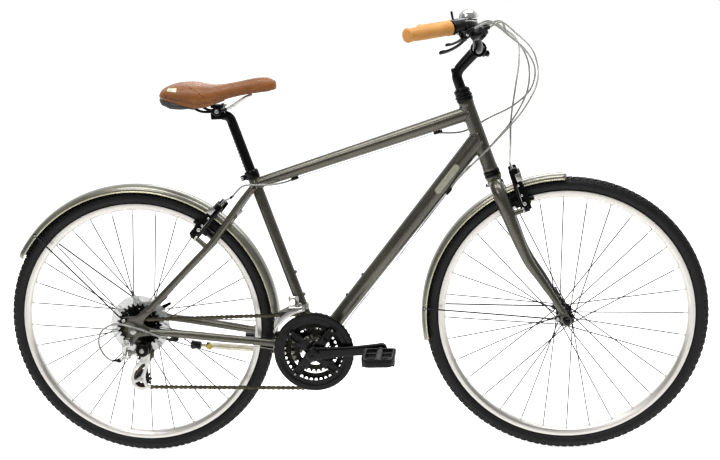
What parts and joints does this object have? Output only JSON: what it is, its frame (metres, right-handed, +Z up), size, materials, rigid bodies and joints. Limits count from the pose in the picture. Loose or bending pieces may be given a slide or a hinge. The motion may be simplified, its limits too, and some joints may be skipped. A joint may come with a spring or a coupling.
{
  "type": "hybrid bike",
  "caption": "Diamond-frame hybrid bicycle with swept bars, full mudguards, rim brakes, hub-spoked wheels, chain drive, bell and side stand.",
  "frame": {"origin": "on the ground, midway between the two wheel axles, in the bike's middle plane", "axes": "+X forward, +Y to the rider's left, +Z up"},
  "size_m": [1.781, 0.6006, 1.1102],
  "materials": {
    "pewter_paint": "metallic satin",
    "guard_paint": "metallic satin",
    "black_alloy": "gloss black anodised",
    "black_plastic": "satin",
    "tyre_rubber": "matt black",
    "silver_alloy": "brushed",
    "steel": "zinc plated",
    "chrome": "polished",
    "dark_steel": "oiled bronze black",
    "tan_leather": "orange tan",
    "tan_rubber": "tan",
    "housing": "silver grey",
    "clear_plastic": "translucent"
  },
  "bodies": {
    "frame": {"frame": "pewter_paint", "seat_collar": "black_alloy", "headset_lower": "black_alloy", "headset_upper": "black_alloy", "rear_mudguard": "guard_paint", "rear_axle": "steel", "rear_mech_hanger": "silver_alloy", "front_mech_body": "silver_alloy", "chain": "dark_steel", "cable_rear_brake": "housing", "cable_front_shift": "housing", "cable_rear_shift": "housing"},
    "steering": {"fork": "pewter_paint", "stem": "black_alloy", "handlebar": "black_alloy", "grip_left": "tan_rubber", "grip_right": "tan_rubber", "control_left": "black_plastic", "control_right": "black_plastic", "bell": "chrome", "front_mudguard": "guard_paint", "front_axle": "steel", "cable_front_brake": "housing"},
    "front_wheel": {"front_tyre": "tyre_rubber", "front_rim": "silver_alloy", "front_hub": "black_alloy"},
    "rear_wheel": {"rear_tyre": "tyre_rubber", "rear_rim": "silver_alloy", "rear_hub": "silver_alloy", "spoke_protector": "clear_plastic"},
    "cassette": {"cassette": "dark_steel"},
    "crank": {"crank_right": "black_alloy", "crank_left": "black_alloy", "chainrings": "dark_steel", "chain_guard": "black_plastic"},
    "pedal_right": {"pedal_right": "black_plastic"},
    "pedal_left": {"pedal_left": "black_plastic"},
    "rear_mech_link": {"rear_mech_link": "silver_alloy"},
    "rear_mech_knuckle": {"rear_mech_knuckle": "dark_steel"},
    "rear_mech_cage": {"rear_mech_cage": "silver_alloy"},
    "guide_pulley": {"guide_pulley": "black_plastic"},
    "tension_pulley": {"tension_pulley": "black_plastic"},
    "front_mech_cage": {"front_mech_cage": "chrome"},
    "brake_lever_left": {"brake_lever_left": "black_alloy"},
    "brake_lever_right": {"brake_lever_right": "black_alloy"},
    "front_brake_arm_left": {"front_brake_arm_left": "black_alloy"},
    "front_brake_arm_right": {"front_brake_arm_right": "black_alloy"},
    "rear_brake_arm_left": {"rear_brake_arm_left": "black_alloy"},
    "rear_brake_arm_right": {"rear_brake_arm_right": "black_alloy"},
    "shift_lever_left": {"shift_lever_left": "black_plastic"},
    "shift_lever_right": {"shift_lever_right": "black_plastic"},
    "bell_lever": {"bell_lever": "black_plastic"},
    "seat_post": {"seat_post": "black_alloy"},
    "saddle": {"saddle_rails": "black_alloy", "saddle_base": "black_plastic", "saddle_cover": "tan_leather"},
    "kickstand": {"kickstand_leg": "silver_alloy"},
    "kickstand_foot": {"kickstand_foot": "black_plastic"},
    "front_quick_release": {"front_quick_release": "black_alloy"},
    "rear_quick_release": {"rear_quick_release": "black_alloy"}
  },
  "joints": [
    {"name": "steer", "type": "hinge", "parent": "frame", "child": "steering", "pos_m": [0.36673, 0, 0.71916], "axis": [-0.3156, 0, 0.9489], "range_deg": [-60, 60], "deforming": ["cable_rear_brake", "cable_front_shift", "cable_rear_shift"]},
    {"name": "front_wheel_spin", "type": "hinge", "parent": "steering", "child": "front_wheel", "pos_m": [0.5415, 0, 0.349], "axis": [0, 1, 0], "continuous": true},
    {"name": "rear_wheel_spin", "type": "hinge", "parent": "frame", "child": "rear_wheel", "pos_m": [-0.5415, 0, 0.349], "axis": [0, 1, 0], "continuous": true},
    {"name": "crank_spin", "type": "hinge", "parent": "frame", "child": "crank", "pos_m": [-0.08696, 0, 0.281], "axis": [0, 1, 0], "continuous": true, "deforming": ["chain"]},
    {"name": "cassette_spin", "type": "hinge", "parent": "frame", "child": "cassette", "pos_m": [-0.5415, 0, 0.349], "axis": [0, 1, 0], "continuous": true},
    {"name": "pedal_right_spin", "type": "hinge", "parent": "crank", "child": "pedal_right", "pos_m": [0.08524, -0.1, 0.29123], "axis": [0, 1, 0], "continuous": true},
    {"name": "pedal_left_spin", "type": "hinge", "parent": "crank", "child": "pedal_left", "pos_m": [-0.25915, 0.1, 0.27077], "axis": [0, 1, 0], "continuous": true},
    {"name": "rear_mech_shift", "type": "hinge", "parent": "frame", "child": "rear_mech_link", "pos_m": [-0.55886, -0.07612, 0.28669], "axis": [0, 0.6606, 0.7507], "range_deg": [0, 58], "deforming": ["chain", "cable_rear_shift"]},
    {"name": "rear_mech_knuckle_turn", "type": "hinge", "parent": "rear_mech_link", "child": "rear_mech_knuckle", "pos_m": [-0.5195, -0.0925, 0.3011], "axis": [0, 0.6606, 0.7507], "range_deg": [-58, 0], "deforming": ["chain"]},
    {"name": "rear_mech_cage_swing", "type": "hinge", "parent": "rear_mech_knuckle", "child": "rear_mech_cage", "pos_m": [-0.5195, -0.06828, 0.3011], "axis": [0, 1, 0], "range_deg": [-40, 0], "stiffness_Nm_per_rad": 0.3, "springref_deg": 20.05, "deforming": ["chain"]},
    {"name": "guide_pulley_spin", "type": "hinge", "parent": "rear_mech_cage", "child": "guide_pulley", "pos_m": [-0.526, -0.06248, 0.2871], "axis": [0, 1, 0], "continuous": true},
    {"name": "tension_pulley_spin", "type": "hinge", "parent": "rear_mech_cage", "child": "tension_pulley", "pos_m": [-0.5351, -0.06248, 0.2169], "axis": [0, 1, 0], "continuous": true},
    {"name": "front_mech_swing", "type": "hinge", "parent": "frame", "child": "front_mech_cage", "pos_m": [-0.1375, -0.033, 0.414], "axis": [1, 0, 0], "range_deg": [0, 20], "deforming": ["chain", "cable_front_shift"]},
    {"name": "brake_lever_left_pull", "type": "hinge", "parent": "steering", "child": "brake_lever_left", "pos_m": [0.31624, 0.19279, 1.04595], "axis": [0.5398, 0.6289, 0.5596], "range_deg": [0, 16], "stiffness_Nm_per_rad": 0.8, "springref_deg": -14.32, "deforming": ["cable_front_brake"]},
    {"name": "brake_lever_right_pull", "type": "hinge", "parent": "steering", "child": "brake_lever_right", "pos_m": [0.31624, -0.19279, 1.04595], "axis": [-0.5398, 0.6289, -0.5596], "range_deg": [0, 16], "stiffness_Nm_per_rad": 0.8, "springref_deg": -14.32, "deforming": ["cable_rear_brake"]},
    {"name": "front_brake_arm_left_swing", "type": "hinge", "parent": "steering", "child": "front_brake_arm_left", "pos_m": [0.40619, 0.045, 0.6132], "axis": [0.9489, 0, 0.3156], "range_deg": [0, 4]},
    {"name": "front_brake_arm_right_swing", "type": "hinge", "parent": "steering", "child": "front_brake_arm_right", "pos_m": [0.40619, -0.045, 0.6132], "axis": [-0.9489, 0, -0.3156], "range_deg": [0, 4], "deforming": ["cable_front_brake"]},
    {"name": "rear_brake_arm_left_swing", "type": "hinge", "parent": "frame", "child": "rear_brake_arm_left", "pos_m": [-0.34387, 0.044, 0.55158], "axis": [0.723, 0, -0.6909], "range_deg": [0, 2.88]},
    {"name": "rear_brake_arm_right_swing", "type": "hinge", "parent": "frame", "child": "rear_brake_arm_right", "pos_m": [-0.34387, -0.044, 0.55158], "axis": [-0.723, 0, 0.6909], "range_deg": [0, 2.88], "deforming": ["cable_rear_brake"]},
    {"name": "shift_lever_left_push", "type": "hinge", "parent": "steering", "child": "shift_lever_left", "pos_m": [0.33522, 0.15436, 1.04402], "axis": [0.5398, 0.6289, 0.5596], "range_deg": [0, 20], "stiffness_Nm_per_rad": 0.2, "springref_deg": -11.46},
    {"name": "shift_lever_right_push", "type": "hinge", "parent": "steering", "child": "shift_lever_right", "pos_m": [0.33522, -0.15436, 1.04402], "axis": [-0.5398, 0.6289, -0.5596], "range_deg": [0, 20], "stiffness_Nm_per_rad": 0.2, "springref_deg": -11.46},
    {"name": "bell_lever_flick", "type": "hinge", "parent": "steering", "child": "bell_lever", "pos_m": [0.3126, -0.093, 1.0785], "axis": [0, 0, 1], "range_deg": [0, 25], "stiffness_Nm_per_rad": 0.05, "springref_deg": -11.46},
    {"name": "seat_post_slide", "type": "slide", "parent": "frame", "child": "seat_post", "axis": [-0.299, 0, 0.9542], "range_m": [-0.08, 0.09]},
    {"name": "saddle_tilt", "type": "hinge", "parent": "seat_post", "child": "saddle", "pos_m": [-0.2994, 0, 0.8905], "axis": [0, 1, 0], "range_deg": [-8, 8]},
    {"name": "kickstand_fold", "type": "hinge", "parent": "frame", "child": "kickstand", "pos_m": [-0.1485, 0.03, 0.247], "axis": [-0.1608, -0.906, -0.3915], "range_deg": [0, 78.5]},
    {"name": "kickstand_length", "type": "slide", "parent": "kickstand", "child": "kickstand_foot", "axis": [-0.9865, 0.1602, 0.0346], "range_m": [-0.015, 0.03]},
    {"name": "front_quick_release_open", "type": "hinge", "parent": "steering", "child": "front_quick_release", "pos_m": [0.5415, 0.0733, 0.349], "axis": [-0.9371, 0, -0.3489], "range_deg": [0, 150]},
    {"name": "rear_quick_release_open", "type": "hinge", "parent": "frame", "child": "rear_quick_release", "pos_m": [-0.5415, 0.0912, 0.349], "axis": [-0.4512, 0, 0.8924], "range_deg": [0, 150]}
  ],
  "couplings": [
    {"joint": "cassette_spin", "follows": "crank_spin", "ratio": 4},
    {"joint": "guide_pulley_spin", "follows": "crank_spin", "ratio": -4.3636},
    {"joint": "tension_pulley_spin", "follows": "crank_spin", "ratio": 4.3636},
    {"joint": "rear_mech_knuckle_turn", "follows": "rear_mech_shift", "ratio": -1},
    {"joint": "front_brake_arm_left_swing", "follows": "brake_lever_left_pull", "ratio": 0.25},
    {"joint": "front_brake_arm_right_swing", "follows": "brake_lever_left_pull", "ratio": 0.25},
    {"joint": "rear_brake_arm_left_swing", "follows": "brake_lever_right_pull", "ratio": 0.18},
    {"joint": "rear_brake_arm_right_swing", "follows": "brake_lever_right_pull", "ratio": 0.18}
  ]
}
